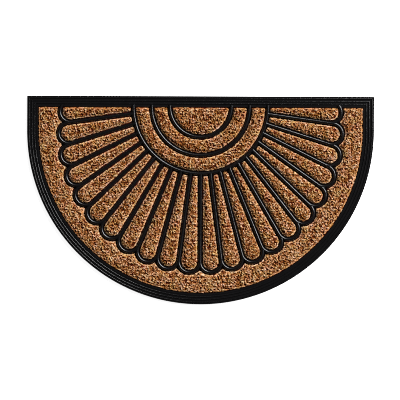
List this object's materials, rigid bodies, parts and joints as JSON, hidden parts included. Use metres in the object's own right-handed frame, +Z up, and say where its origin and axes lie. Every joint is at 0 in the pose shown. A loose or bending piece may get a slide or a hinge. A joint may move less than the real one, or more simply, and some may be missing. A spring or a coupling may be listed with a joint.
{
  "type": "doormat",
  "caption": "Half-round doormat: a moulded rubber tray with raised ribs in a fan pattern and coir pile set into its pockets.",
  "frame": {"origin": "on the floor plane, under the middle of the mat's box", "axes": "+Z up out of the pile; +Y towards the straight edge, which lies along a door's threshold; +X along the straight edge, to the right with the straight edge at the top"},
  "size_m": [0.762, 0.4572, 0.01],
  "materials": {
    "rubber": "moulded black rubber, satin",
    "coir": "short stiff coconut fibre pile, matte"
  },
  "bodies": {
    "root": {"rubber_tray": "rubber", "coir_half_disc": "coir", "coir_band_inner": "coir", "coir_band_outer": "coir", "coir_petal_01": "coir", "coir_petal_02": "coir", "coir_petal_03": "coir", "coir_petal_04": "coir", "coir_petal_05": "coir", "coir_petal_06": "coir", "coir_petal_07": "coir", "coir_petal_08": "coir", "coir_petal_09": "coir", "coir_petal_10": "coir", "coir_petal_11": "coir", "coir_petal_12": "coir", "coir_petal_13": "coir", "coir_petal_14": "coir", "coir_petal_15": "coir", "coir_petal_16": "coir", "coir_petal_17": "coir", "coir_petal_18": "coir", "coir_petal_19": "coir", "coir_petal_20": "coir", "coir_petal_21": "coir", "coir_petal_22": "coir", "coir_field": "coir"}
  },
  "joints": []
}
